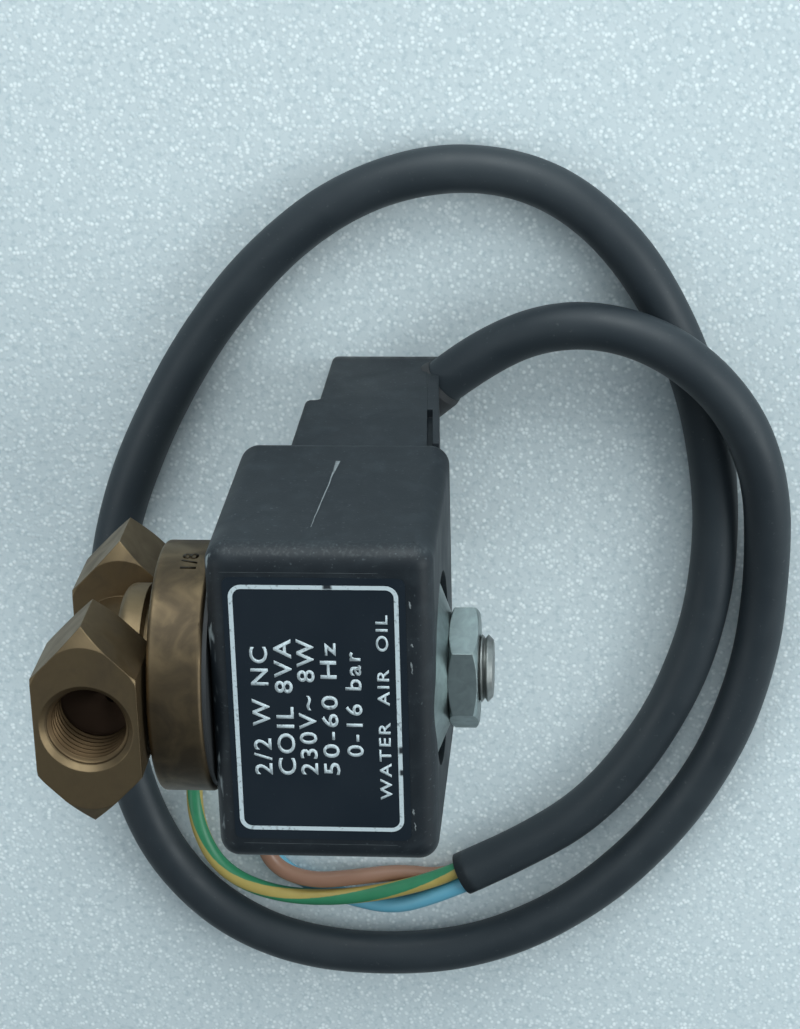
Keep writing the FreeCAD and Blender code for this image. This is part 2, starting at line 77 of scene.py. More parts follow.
# Routes are control points in millimetres, the same ones as the CAD model's.
CABLE_D = 6.3 * MM
CORE_D = 2.4 * MM
CABLE_ROUTE = [
    (16.9, 17.3, 4.6),
    (24.3, 23.6, 5.6),
    (35.3, 27.7, 8.0),
    (46.7, 25.6, 9.9),
    (56.1, 17.6, 10.0),
    (61.1, 5.8, 7.9),
    (61.9, -9.2, 4.6),
    (60.7, -24.4, 3.2),
    (55.7, -39.6, 3.2),
    (47.1, -53.0, 3.2),
    (35.7, -64.2, 3.2),
    (21.9, -71.6, 3.2),
    (6.9, -73.6, 3.2),
    (-7.2, -71.8, 3.2),
    (-17.9, -65.8, 3.2),
    (-25.4, -56.4, 3.2),
    (-29.7, -43.9, 3.2),
    (-31.2, -29.9, 3.2),
    (-30.8, -16.1, 3.2),
    (-28.4, -2.6, 3.2),
    (-22.6, 11.4, 3.2),
    (-14.1, 25.8, 3.2),
    (-3.7, 37.4, 3.2),
    (7.1, 44.6, 3.2),
    (19.5, 47.6, 3.2),
    (31.5, 45.4, 3.2),
    (41.1, 37.8, 3.2),
    (48.1, 26.8, 3.2),
    (52.9, 13.4, 3.2),
    (55.0, -1.8, 3.2),
    (53.7, -17.6, 3.2),
    (48.5, -32.6, 3.2),
    (39.7, -45.8, 3.2),
    (29.9, -53.7, 3.2),
    (19.0, -59.3, 3.2),
]
GREEN_YELLOW_ROUTE = [
    (18.29, -58.25, 3.93),
    (14.0, -60.45, 3.95),
    (2.7, -63.3, 3.9),
    (-8.1, -63.3, 3.9),
    (-16.3, -59.6, 3.9),
    (-20.1, -52.8, 3.0),
    (-20.6, -44.3, 1.5),
    (-18.7, -35.8, 1.4),
]
BLUE_ROUTE = [
    (19.45, -60.49, 3.93),
    (15.2, -62.7, 3.75),
    (8.6, -65.7, 2.4),
    (2.0, -64.9, 1.25),
    (-3.0, -63.0, 1.25),
    (-8.0, -60.0, 1.25),
    (-11.4, -54.8, 1.25),
    (-12.8, -48.8, 1.25),
    (-12.2, -42.4, 1.25),
]
BROWN_ROUTE = [
    (18.87, -59.37, 1.74),
    (15.9, -60.89, 1.57),
    (9.5, -60.3, 1.3),
    (3.2, -60.4, 2.9),
    (-3.6, -60.6, 3.95),
    (-9.0, -58.2, 3.95),
    (-10.8, -52.8, 3.6),
    (-9.4, -46.6, 2.2),
    (-7.6, -40.4, 1.25),
]

# ---------------------------------------------------------------- node helpers


class Shader:
    """A material's node tree with short calls for the nodes used here."""

    def __init__(self, name):
        self.material = bpy.data.materials.new(name)
        self.material.use_nodes = True
        self.tree = self.material.node_tree
        self.bsdf = self.tree.nodes["Principled BSDF"]
        self.place = self.tree.nodes.new("ShaderNodeTexCoord")

    def new(self, kind, **settings):
        node = self.tree.nodes.new(kind)
        for key, value in settings.items():
            setattr(node, key, value)
        return node

    def put(self, node, socket, value):
        """A constant is set on the socket, anything else is linked to it."""
        target = node.inputs[socket]
        if isinstance(value, bpy.types.NodeSocket):
            self.tree.links.new(value, target)
        else:
            target.default_value = value

    def set(self, socket, value):
        self.put(self.bsdf, socket, value)

    def coords(self, stretch=(1, 1, 1)):
        """Object coordinates in millimetres, stretched along each axis."""
        mapping = self.new("ShaderNodeMapping")
        self.put(mapping, "Vector", self.place.outputs["Object"])
        self.put(mapping, "Scale", [value / MM for value in stretch])
        return mapping.outputs["Vector"]

    def noise(self, size_mm, detail=3.0, stretch=(1, 1, 1), distortion=0.0):
        node = self.new("ShaderNodeTexNoise")
        self.put(node, "Vector", self.coords(stretch))
        self.put(node, "Scale", 1 / size_mm)
        self.put(node, "Detail", detail)
        self.put(node, "Distortion", distortion)
        return node.outputs["Fac"]

    def ramp(self, value, stops):
        node = self.new("ShaderNodeValToRGB")
        elements = node.color_ramp.elements
        while len(elements) < len(stops):
            elements.new(0.5)
        for element, (position, colour) in zip(elements, stops):
            element.position = position
            element.color = (*colour, 1)
        self.put(node, "Fac", value)
        return node.outputs["Color"]

    def span(self, value, low, high, start=0.0, stop=1.0):
        """Maps start..stop of a value to low..high."""
        node = self.new("ShaderNodeMapRange")
        self.put(node, "Value", value)
        self.put(node, "From Min", start)
        self.put(node, "From Max", stop)
        self.put(node, "To Min", low)
        self.put(node, "To Max", high)
        return node.outputs["Result"]

    def math(self, operation, first, second=0.0):
        node = self.new("ShaderNodeMath", operation=operation)
        self.put(node, 0, first)
        self.put(node, 1, second)
        return node.outputs["Value"]

    def mix(self, factor, first, second):
        node = self.new("ShaderNodeMix", data_type="RGBA")
        self.put(node, "Factor", factor)
        for socket, value in ((node.inputs[6], first), (node.inputs[7], second)):
            if isinstance(value, bpy.types.NodeSocket):
                self.tree.links.new(value, socket)
            else:
                socket.default_value = (*value, 1)
        return node.outputs[2]

    def near(self, axis, middle_mm, reach_mm):
        """1 within reach of a place along one axis of the model, fading to 0 over the same distance."""
        split = self.new("ShaderNodeSeparateXYZ")
        self.put(split, "Vector", self.coords())
        away = self.math("ABSOLUTE", self.math("SUBTRACT", split.outputs[axis], middle_mm))
        return self.span(away, 1.0, 0.0, reach_mm, 2 * reach_mm)

    def inside_ports(self):
        """1 on the walls and floors of the two threaded bores, where painted shade goes, 0 elsewhere.

        wall is a radius about the ports' axis and neck a height from the valve's axis, in millimetres."""
        split = self.new("ShaderNodeSeparateXYZ")
        self.put(split, "Vector", self.coords())
        across = [self.math("POWER", self.math("SUBTRACT", split.outputs[axis], INLET[index] / MM), 2.0)
                  for index, axis in enumerate("XY")]
        apart = self.math("SQRT", self.math("ADD", *across))
        middle = AXIS_Z / MM
        height = self.math("ABSOLUTE", self.math("SUBTRACT", split.outputs["Z"], middle))
        mouth = INLET.z / MM - middle + THREAD_LENGTH / MM / 2
        wall, neck = 5.0, 6.0
        in_bore = self.math("MULTIPLY", self.span(apart, 1.0, 0.0, wall - 0.05, wall + 0.05),
                            self.span(height, 1.0, 0.0, mouth - 0.9, mouth - 0.1))
        return self.math("MULTIPLY", in_bore, self.span(height, 0.0, 1.0, neck, neck + 1))

    def rounded(self, radius_mm):
        """Normals of the surface with its sharp edges softened."""
        node = self.new("ShaderNodeBevel")
        node.samples = 6
        self.put(node, "Radius", radius_mm * MM)
        return node.outputs["Normal"]

    def bump(self, height, depth_mm, strength=1.0, below=None):
        node = self.new("ShaderNodeBump")
        self.put(node, "Height", height)
        self.put(node, "Distance", depth_mm * MM)
        self.put(node, "Strength", strength)
        if below is not None:
            self.put(node, "Normal", below)
        return node.outputs["Normal"]


# ---------------------------------------------------------------- materials

# Brass as it comes off the tool, aged, tarnished, and a darker tone for the painted shade on the flange's
# rim
BRASS_TONES = ((0.205, 0.147, 0.084), (0.168, 0.121, 0.070), (0.122, 0.091, 0.058), (0.066, 0.050, 0.034))


def moulded_plastic():
    """Fine-grained black thermoset: chalky bloom, light specks, rubbed edges, a dusty seam, and a painted
    highlight with dust specks along the rim where the +Y face meets the printed face.
    """
    s = Shader("moulded_black")
    grain = s.noise(0.30, 4)
    cloud = s.noise(8.0, 4, distortion=0.6)
    bloom = s.noise(2.6, 5, distortion=0.4)
    speck = s.noise(0.42, 2)
    body = s.mix(cloud, (0.0055, 0.0085, 0.0120), (0.0115, 0.0160, 0.0205))
    body = s.mix(s.span(bloom, 0.0, 0.28, 0.50, 0.78), body, (0.036, 0.047, 0.055))
    body = s.mix(s.span(speck, 0.0, 0.55, 0.66, 0.78), body, (0.085, 0.100, 0.110))
    edge = s.math("MULTIPLY", s.near("X", COIL_LOW.x / MM + 0.4, 0.28),
                  s.near("Z", COIL_HIGH.z / MM - 1.1, 0.7))
    patches = s.span(s.noise(1.3, 3, stretch=(1, 0.35, 1)), 0.0, 1.0, 0.56, 0.64)
    rubbed = s.math("MULTIPLY", edge, patches)
    body = s.mix(rubbed, body, (0.22, 0.25, 0.26))
    seam = s.near("Z", COIL_LOW.z / MM + 0.25, 0.35)
    dusty = s.math("MULTIPLY", seam, s.span(s.noise(0.8, 3), 0.1, 0.6, 0.35, 0.65))
    body = s.mix(dusty, body, (0.12, 0.125, 0.12))
    # painted highlight with dust specks along the rim where the +Y face meets the printed face
    rim = s.math("MULTIPLY", s.near("Y", COIL_HIGH.y / MM - 0.5, 0.35),
                 s.near("Z", COIL_HIGH.z / MM - 1.0, 1.0))
    dust_and_painted_highlight = s.math("MULTIPLY", rim, s.span(s.noise(0.40, 5), 0.05, 0.45, 0.50, 0.72))
    s.set("Base Color", s.mix(dust_and_painted_highlight, body, (0.075, 0.085, 0.089)))
    s.set("Roughness", s.span(cloud, 0.44, 0.58, 0.3, 0.7))
    s.set("Specular IOR Level", 0.32)
    s.set("Normal", s.bump(grain, 0.022, 0.6, s.rounded(0.15)))
    return s.material


def panel_plastic():
    """The smoother printed panel on the coil."""
    s = Shader("panel_black")
    cloud = s.noise(7.0, 3)
    speck = s.noise(0.36, 2)
    body = s.mix(cloud, (0.0045, 0.0095, 0.0160), (0.0075, 0.0135, 0.0210))
    s.set("Base Color", s.mix(s.span(speck, 0.0, 0.35, 0.68, 0.80), body, (0.055, 0.066, 0.072)))
    s.set("Roughness", s.span(cloud, 0.40, 0.52, 0.3, 0.7))
    s.set("Specular IOR Level", 0.32)
    s.set("Normal", s.bump(s.noise(0.35, 3), 0.012, 0.45))
    return s.material


def print_ink():
    """Pale screen print, thinned by wear in places."""
    s = Shader("print_white")
    wear = s.noise(0.45, 4)
    colour = s.mix(s.span(wear, 0.0, 1.0, 0.58, 0.72), (0.50, 0.57, 0.60), (0.19, 0.22, 0.24))
    for x, y, reach in ((8.4, 16.0, 0.32), (16.4, -4.7, 0.28), (16.4, -7.6, 0.24)):
        gap = s.math("MULTIPLY", s.near("X", x, reach), s.near("Y", y, reach))
        colour = s.mix(gap, colour, (0.010, 0.015, 0.021))
    s.set("Base Color", colour)
    s.set("Roughness", 0.6)
    return s.material


def scratch_mark(name, dark, light):
    """Grey scoring where the plastic has been scraped or where the mould closed."""
    s = Shader(name)
    s.set("Base Color", s.mix(s.noise(0.5, 3), dark, light))
    s.set("Roughness", 0.7)
    return s.material


def brass(name, turned, dark=1.0, bore_shade=(0.060, 0.036, 0.024)):
    """Aged machined brass, with painted shade on the flange's rim that varies with the stains, and painted
    shade in the threaded bores. turned stretches its tool marks.
    """
    s = Shader(name)
    stain = s.noise(4.5, 5, distortion=0.7)
    cloud = s.noise(1.1, 4)
    marks = s.noise(0.13, 3, stretch=turned)
    fresh, aged, tarnish, painted_flange_shade = (tuple(dark * value for value in tone) for tone in BRASS_TONES)
    colour = s.ramp(stain, [(0.30, tarnish), (0.50, aged), (0.74, fresh)])
    colour = s.mix(s.span(cloud, 0.0, 0.30, 0.48, 0.75), colour, fresh)
    colour = s.mix(s.span(marks, 0.0, 0.35, 0.55, 0.75), colour, aged)
    # painted shade over the flange's rim, deeper on its tarnished patches
    rim = s.math("MULTIPLY", s.near("X", FLANGE_MIDDLE_X / MM, 2.1),
                 s.span(stain, 0.85, 0.35, 0.40, 0.66))
    colour = s.mix(rim, colour, painted_flange_shade)
    # painted shade darkens the walls and floors of the threaded bores
    s.set("Base Color", s.mix(s.inside_ports(), colour, bore_shade))
    s.set("Metallic", 1.0)
    s.set("Roughness", s.span(stain, 0.56, 0.43, 0.35, 0.7))
    fine = s.bump(marks, 0.008, 0.35, s.rounded(0.18))
    s.set("Normal", s.bump(cloud, 0.015, 0.25, fine))
    return s.material


def plated_steel(name, colour, roughness):
    """Zinc-plated or plain steel with a cloudy, faintly brushed surface."""
    s = Shader(name)
    cloud = s.noise(1.5, 4, distortion=0.5)
    fine = s.noise(0.12, 3)
    darker = tuple(value * 0.78 for value in colour)
    s.set("Base Color", s.mix(s.span(cloud, 0.0, 1.0, 0.35, 0.7), darker, colour))
    s.set("Metallic", 1.0)
    s.set("Roughness", s.span(cloud, roughness + 0.08, roughness, 0.3, 0.7))
    s.set("Normal", s.bump(fine, 0.010, 0.35, s.rounded(0.12)))
    return s.material


def copper():
    """Bright drawn copper wire."""
    s = Shader("copper")
    cloud = s.noise(0.8, 4)
    s.set("Base Color", s.mix(cloud, (0.50, 0.21, 0.10), (0.72, 0.36, 0.20)))
    s.set("Metallic", 1.0)
    s.set("Roughness", s.span(cloud, 0.24, 0.4))
    return s.material


def soft_plastic(name, dark, light, roughness):
    """Rubber and flexible insulation: even colour, soft gloss and a fine extruded skin."""
    s = Shader(name)
    cloud = s.noise(6.0, 4, distortion=0.4)
    grain = s.noise(0.35, 3)
    s.set("Base Color", s.mix(cloud, dark, light))
    s.set("Roughness", s.span(cloud, roughness, roughness + 0.12, 0.3, 0.7))
    s.set("Normal", s.bump(grain, 0.010, 0.5))
    return s.material


def sheath_plastic():
    """Grey-black flexible sheath, with the rubbed, dusty haze that handling leaves on a lead."""
    s = Shader("sheath_black")
    cloud = s.noise(5.0, 4, distortion=0.8)
    haze = s.noise(16.0, 3, distortion=0.5)
    grain = s.noise(0.4, 3)
    speck = s.noise(0.6, 2)
    body = s.mix(cloud, (0.0145, 0.0205, 0.0260), (0.0235, 0.0310, 0.0375))
    body = s.mix(s.span(haze, 0.0, 0.30, 0.45, 0.75), body, (0.040, 0.050, 0.056))
    s.set("Base Color", s.mix(s.span(speck, 0.0, 0.4, 0.68, 0.80), body, (0.10, 0.108, 0.112)))
    s.set("Roughness", s.span(cloud, 0.44, 0.57, 0.3, 0.7))
    s.set("Specular IOR Level", 0.38)
    s.set("Normal", s.bump(cloud, 0.05, 0.25, s.bump(grain, 0.010, 0.5)))
    return s.material


def striped_plastic():
    """Green and yellow insulation: two stripes that run along the core, from its own UV layout."""
    s = Shader("green_yellow")
    across = s.new("ShaderNodeSeparateXYZ")
    s.put(across, "Vector", s.place.outputs["UV"])
    around = s.math("FRACT", s.math("MULTIPLY", across.outputs["X"], 2.0))
    from_middle = s.math("ABSOLUTE", s.math("SUBTRACT", around, 0.5))
    waver = s.span(s.noise(0.8, 2), -0.02, 0.02)
    edge = s.span(s.math("ADD", from_middle, waver), 0.0, 1.0, 0.205, 0.235)
    cloud = s.noise(2.0, 3)
    green = s.mix(cloud, (0.020, 0.165, 0.075), (0.032, 0.225, 0.105))
    yellow = s.mix(cloud, (0.36, 0.265, 0.065), (0.45, 0.345, 0.10))
    s.set("Base Color", s.mix(edge, yellow, green))
    s.set("Roughness", s.span(cloud, 0.38, 0.50, 0.3, 0.7))
    s.set("Normal", s.bump(s.noise(0.3, 3), 0.01, 0.5))
    return s.material


def floor_material():
    """Pale foam sheet: fine cells with painted glints as small bright dots, on a soft uneven ground."""
    s = Shader("floor_foam")
    cloud = s.noise(26.0, 3)
    cells = s.new("ShaderNodeTexVoronoi")
    s.put(cells, "Vector", s.coords())
    s.put(cells, "Scale", 1 / 0.75)
    dots = s.span(cells.outputs["Distance"], 1.0, 0.0, 0.16, 0.50)
    # painted glints: bright dots on some of the foam's cells
    painted_glints = s.math("MULTIPLY", dots, s.span(s.noise(2.0, 3), 0.10, 0.85, 0.38, 0.60))
    grain = s.noise(0.9, 2)
    base = s.mix(cloud, (0.570, 0.640, 0.665), (0.650, 0.715, 0.735))
    base = s.mix(s.span(grain, 0.0, 0.55, 0.50, 0.68), base, (0.43, 0.52, 0.555))
    s.set("Base Color", s.mix(painted_glints, base, (0.90, 0.95, 0.96)))
    s.set("Roughness", 0.75)
    s.set("Normal", s.bump(s.noise(5.0, 3), 0.35, 0.3, s.bump(dots, 0.10, 0.35)))
    return s.material


# ---------------------------------------------------------------- mesh helpers


def piece(name, mesh, material, body, smooth=True):
    """A mesh as a named object on a body, with its material."""
    obj = bpy.data.objects.new(name, mesh)
    bpy.context.scene.collection.objects.link(obj)
    mesh.materials.append(material)
    if smooth:
        mesh.shade_smooth()
    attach(obj, body)
    return obj


def mesh_from(name, vertices, faces):
    mesh = bpy.data.meshes.new(name)
    mesh.from_pydata([tuple(vertex) for vertex in vertices], [], faces)
    mesh.validate()
    mesh.update()
    return mesh


def route_points(name, route):
    """Points along the smooth NURBS line of a route given in millimetres."""
    curve = bpy.data.curves.new(name + "_route", "CURVE")
    curve.dimensions = "3D"
    curve.resolution_u = 12
    spline = curve.splines.new("NURBS")
    spline.points.add(len(route) - 1)
    for point, place in zip(spline.points, route):
        point.co = (*(value * MM for value in place), 1)
    spline.order_u = 3
    spline.use_endpoint_u = True
    obj = bpy.data.objects.new(name + "_route", curve)
    bpy.context.scene.collection.objects.link(obj)
    bpy.context.view_layer.update()
    evaluated = obj.evaluated_get(bpy.context.evaluated_depsgraph_get())
    line = bpy.data.meshes.new_from_object(evaluated)
    points = [vertex.co.copy() for vertex in line.vertices]
    bpy.data.meshes.remove(line)
    bpy.data.objects.remove(obj)
    return points


def frames_along(points):
    """Place, side and up vectors at each point, turned as little as possible from one to the next."""
    result = []
    side = None
    for index, point in enumerate(points):
        ahead = points[min(index + 1, len(points) - 1)] - points[max(index - 1, 0)]
        ahead.normalize()
        if side is None:
            side = ahead.cross(Vector((0, 0, 1))).normalized()
        side = (side - ahead * side.dot(ahead)).normalized()
        result.append((point, side, side.cross(ahead).normalized(), ahead))
    return result


def tube_mesh(name, points, radius, segments=32, twist=0.0, start=(), end=(), wobble=None):
    """Round tube along points. start and end are (offset along, radius) rings that shape its ends.

    UV u runs once round the tube and turns by twist over its length, and v runs along it in metres."""
    frames = frames_along(points)
    first, last = frames[0], frames[-1]
    rings = [(first, offset, ring_radius, 0.0) for offset, ring_radius in start]
    length = 0.0
    for index, place in enumerate(frames):
        if index:
            length += (points[index] - points[index - 1]).length
        ring_radius = radius + (wobble(length) if wobble else 0.0)
        rings.append((place, 0.0, ring_radius, length))
    rings += [(last, offset, ring_radius, length) for offset, ring_radius in end]
    vertices = []
    for (point, side, up, ahead), offset, ring_radius, _ in rings:
        for step in range(segments):
            angle = math.tau * step / segments
            spoke = side * math.cos(angle) + up * math.sin(angle)
            vertices.append(point + ahead * offset + spoke * ring_radius)
    faces = []
    for ring in range(len(rings) - 1):
        for step in range(segments):
            after = (step + 1) % segments
            low, high = ring * segments, (ring + 1) * segments
            faces.append((low + step, low + after, high + after, high + step))
    faces.append(tuple(reversed(range(segments))))
    faces.append(tuple((len(rings) - 1) * segments + step for step in range(segments)))
    mesh = bpy.data.meshes.new(name)
    mesh.from_pydata([tuple(vertex) for vertex in vertices], [], faces)
    uv = mesh.uv_layers.new(name="UVMap")
    loop = 0
    for ring in range(len(rings) - 1):
        for step in range(segments):
            corners = ((step, ring), (step + 1, ring), (step + 1, ring + 1), (step, ring + 1))
            for around, along in corners:
                distance = rings[along][3]
                uv.data[loop].uv = (around / segments + twist * distance / length, distance)
                loop += 1
    mesh.update()
    fix_normals(mesh)
    return mesh


def fix_normals(mesh):
    work = bmesh.new()
    work.from_mesh(mesh)
    bmesh.ops.recalc_face_normals(work, faces=work.faces)
    work.to_mesh(mesh)
    work.free()


# ---------------------------------------------------------------- lead and cores

CUT = 0.15 * MM


def sheath_wobble(along):
    """Slight unevenness of the sheath's radius, at a distance along it in metres."""
    return 0.035 * MM * math.sin(along * 310) * math.sin(along * 97 + 1)


def build_lead(materials):
    """The sheath, its three cores and their bared ends."""
    path = route_points("lead", CABLE_ROUTE)
    radius = CABLE_D / 2
    hollow = -0.5 * MM
    end = [(-CUT, radius), (0, radius - CUT), (0, radius - 0.95 * MM), (hollow, radius - 1.0 * MM),
           (hollow, 0.2 * MM)]
    mesh = tube_mesh("lead_sheath", path, radius, 48, end=end, wobble=sheath_wobble)
    lead = piece("lead_sheath", mesh, materials["sheath"], "coil")
    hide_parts("cable_sheath")
    for name, route, material, twist in (
        ("core_brown", BROWN_ROUTE, "brown", 0.0),
        ("core_blue", BLUE_ROUTE, "blue", 0.0),
        ("core_green_yellow", GREEN_YELLOW_ROUTE, "green_yellow", -0.9),
    ):
        build_core(name, route, materials[material], twist, materials["copper"])
    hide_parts("copper_ends")


def build_core(name, route, material, twist, copper_material):
    """One insulated core. Returns its piece, its path and the piece for its bared end."""
    path = route_points(name, route)
    radius = CORE_D / 2
    inside_sheath = [(-0.6 * MM, radius)]
    end = [(-CUT, radius), (0, radius - CUT), (0, 0.62 * MM)]
    mesh = tube_mesh("lead_" + name, path, radius, 28, twist=twist, start=inside_sheath, end=end)
    core = piece("lead_" + name, mesh, material, "coil")
    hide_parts(name)
    return core, path, build_strands(name, path, copper_material)


def build_strands(name, path, material):
    """Bared end of a core: six fine wires laid round a seventh."""
    length = 5.8 * MM
    wire = 0.165 * MM
    lay_length = 7 * MM
    inset = 0.3 * MM
    point, side, up, ahead = frames_along(path)[-1]
    work = bmesh.new()
    for strand in range(7):
        line = []
        for step in range(25):
            along = length * step / 24
            angle = math.tau * (strand / 6 + along / lay_length)
            spread = 1 + 0.12 * math.sin(strand * 2.1) * along / length
            reach = 0 if strand == 6 else 2.05 * wire * spread
            spoke = side * math.cos(angle) + up * math.sin(angle)
            line.append(point + ahead * (along - inset) + spoke * reach)
        part = tube_mesh("strand", line, wire, 10)
        work.from_mesh(part)
        bpy.data.meshes.remove(part)
    mesh = bpy.data.meshes.new(name + "_strands")
    work.to_mesh(mesh)
    work.free()
    return piece(name + "_strands", mesh, material, "coil")


# ---------------------------------------------------------------- threads

PORT_PITCH = 0.907 * MM
CREST_DEPTH = 0.56 * MM
RUN_OUT = 0.8 * MM


def port_thread(name, centre, material):
    """Helical female thread in one port: its crests stand in from the wall and run out at both ends."""
    segments = 72
    rows = 150
    wall = THREAD_R - 0.002 * MM
    vertices = []
    for row in range(rows + 1):
        along = THREAD_LENGTH * row / rows
        fade = max(0.0, min(1.0, along / RUN_OUT, (THREAD_LENGTH - along) / RUN_OUT))
        for step in range(segments):
            phase = (along / PORT_PITCH - step / segments) % 1.0
            height = 1 - abs(2 * phase - 1)
            radius = wall - CREST_DEPTH * fade * min(1.0, height * 1.15)
            angle = math.tau * step / segments
            place = (radius * math.cos(angle), radius * math.sin(angle), along - THREAD_LENGTH / 2)
            vertices.append(centre + Vector(place))
    faces = []
    for row in range(rows):
        for step in range(segments):
            after = (step + 1) % segments
            low, high = row * segments, (row + 1) * segments
            faces.append((low + step, high + step, high + after, low + after))
    mesh = mesh_from(name, vertices, faces)
    return piece(name, mesh, material, "valve")


# ---------------------------------------------------------------- return spring

SPRING_TURNS = 6
SPRING_R = 2.3 * MM
SPRING_WIRE_R = 0.27 * MM


def build_spring(material):
    """Wire spring in the plunger."""
    low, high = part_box("return_spring")
    clear = 0.02 * MM
    start_x = low.x + SPRING_WIRE_R + clear
    length = high.x - low.x - 2 * SPRING_WIRE_R - 2 * clear
    steps = SPRING_TURNS * 30
    points = []
    for step in range(steps + 1):
        angle = math.tau * SPRING_TURNS * step / steps
        points.append(Vector((start_x + length * step / steps, INLET.y + SPRING_R * math.sin(angle),
                              AXIS_Z - SPRING_R * math.cos(angle))))
    mesh = tube_mesh("plunger_spring", points, SPRING_WIRE_R, 12)
    spring = piece("plunger_spring", mesh, material, "valve")
    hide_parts("return_spring")
    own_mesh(spring)


# ---------------------------------------------------------------- print and marks on the coil

PRINT_T = 0.03 * MM
STAMP_X = -8.0 * MM
STAMP_ANGLE = math.radians(80)


def rounded_outline(x0, x1, y0, y1, radius, steps=8):
    """Points round a rectangle with rounded corners."""
    points = []
    for cx, cy, start in ((x1 - radius, y1 - radius, 0), (x0 + radius, y1 - radius, 90),
                          (x0 + radius, y0 + radius, 180), (x1 - radius, y0 + radius, 270)):
        for step in range(steps + 1):
            angle = math.radians(start + 90 * step / steps)
            points.append((cx + radius * math.cos(angle), cy + radius * math.sin(angle)))
    return points


def slab(name, outline, z0, z1, material, body, hole=None):
    """Flat closed plate from an outline, with a matching inner outline as its hole if one is given."""
    count = len(outline)
    vertices = [(x, y, z) for z in (z0, z1) for x, y in outline]
    faces = []
    for step in range(count):
        after = (step + 1) % count
        faces.append((step, after, count + after, count + step))
    if hole is None:
        faces += [tuple(reversed(range(count))), tuple(range(count, 2 * count))]
    else:
        vertices += [(x, y, z) for z in (z0, z1) for x, y in hole]
        for step in range(count):
            after = (step + 1) % count
            faces.append((2 * count + step, 3 * count + step, 3 * count + after, 2 * count + after))
            faces.append((step, 2 * count + step, 2 * count + after, after))
            faces.append((count + step, count + after, 3 * count + after, 3 * count + step))
    mesh = mesh_from(name, vertices, faces)
    fix_normals(mesh)
    return piece(name, mesh, material, body, smooth=False)


def build_print(materials):
    """Raised panel, white border and generic ratings on the coil's upper face."""
    panel_z = FACE_Z + 0.06 * MM
    slab("print_panel", rounded_outline(-3.55 * MM, 17.2 * MM, -16.6 * MM, 16.9 * MM, 0.9 * MM),
         FACE_Z - 0.05 * MM, panel_z, materials["panel"], "coil")
    border = (-2.9 * MM, 16.4 * MM, -15.4 * MM, 16.0 * MM)
    line = 0.5 * MM
    outer = rounded_outline(*border, 1.5 * MM)
    inner = rounded_outline(border[0] + line, border[1] - line, border[2] + line, border[3] - line,
                            1.5 * MM - line)
    slab("print_border", outer, panel_z - 0.01 * MM, panel_z + PRINT_T, materials["ink"], "coil",
         hole=inner)
    # Each row: text, x of its upper edge, y of its start, width and height of its capitals
    rows = (
        ("2/2 W NC", 0.2, -8.1, 16.4, 2.0),
        ("COIL 8VA", 2.95, -8.1, 17.4, 2.0),
        ("230V~ 8W", 5.55, -8.05, 17.4, 1.95),
        ("50-60 Hz", 8.15, -8.0, 16.9, 1.85),
        ("0-16 bar", 10.95, -5.6, 13.4, 1.85),
        ("WATER  AIR  OIL", 14.4, -11.2, 23.6, 1.35),
    )
    for index, (text, x, y, width, cap) in enumerate(rows):
        print_line("print_line_%d" % (index + 1), text, x * MM, y * MM, width * MM, cap * MM, panel_z,
                   materials["ink"])


def print_line(name, text, x, y, width, cap_height, z, material):
    """One line of print that reads along +Y, stretched to the given width and cap height."""
    curve = bpy.data.curves.new(name, "FONT")
    curve.body = text
    curve.size = 1.0
    curve.space_character = 1.22
    curve.resolution_u = 6
    curve.offset = 0.014
    obj = bpy.data.objects.new(name, curve)
    bpy.context.scene.collection.objects.link(obj)
    bpy.context.view_layer.update()
    evaluated = obj.evaluated_get(bpy.context.evaluated_depsgraph_get())
    flat = bpy.data.meshes.new_from_object(evaluated)
    bpy.data.objects.remove(obj)
    xs = [vertex.co.x for vertex in flat.vertices]
    ys = [vertex.co.y for vertex in flat.vertices if vertex.co.y > 0]
    along = width / (max(xs) - min(xs))
    up = cap_height / max(ys)
    base_x = x + cap_height / 2
    left = min(xs)
    for vertex in flat.vertices:
        vertex.co = Vector((base_x - vertex.co.y * up, y + (vertex.co.x - left) * along, z))
    work = bmesh.new()
    work.from_mesh(flat)
    bmesh.ops.remove_doubles(work, verts=work.verts, dist=1e-7)
    raised = bmesh.ops.extrude_face_region(work, geom=work.faces[:])
    tops = [item for item in raised["geom"] if isinstance(item, bmesh.types.BMVert)]
    bmesh.ops.translate(work, verts=tops, vec=(0, 0, PRINT_T))
    bmesh.ops.recalc_face_normals(work, faces=work.faces)
    mesh = bpy.data.meshes.new(name)
    work.to_mesh(mesh)
    work.free()
    bpy.data.meshes.remove(flat)
    piece(name, mesh, material, "coil", smooth=False)


def scrape(name, points, widths, normal, material):
    """A thin closed ribbon along points on a flat face, with a width at each, in millimetres."""
    points = [Vector(point) * MM for point in points]
    lift = Vector(normal) * 0.02 * MM
    left, right = [], []
    for index, point in enumerate(points):
        ahead = points[min(index + 1, len(points) - 1)] - points[max(index - 1, 0)]
        side = ahead.cross(Vector(normal)).normalized() * widths[index] * MM / 2
        left.append(point + side)
        right.append(point - side)
    outline = left + right[::-1]
    count = len(outline)
    vertices = [vertex - lift for vertex in outline] + [vertex + lift for vertex in outline]
    faces = [tuple(range(count)), tuple(reversed(range(count, 2 * count)))]
    for step in range(count):
        after = (step + 1) % count
        faces.append((step, count + step, count + after, after))
    mesh = mesh_from(name, vertices, faces)
    fix_normals(mesh)
    return piece(name, mesh, material, "coil", smooth=False)


def ragged_line(start, end, steps, stray, seed):
    """Points from start to end that wander a little sideways in the plane of the face."""
    chance = random.Random(seed)
    start, end = Vector(start), Vector(end)
    points = []
    for step in range(steps + 1):
        wander = Vector([stray * chance.uniform(-1, 1) if abs(end[axis] - start[axis]) > 1e-6 else 0.0
                         for axis in range(3)])
        points.append(start.lerp(end, step / steps) + wander)
    return points


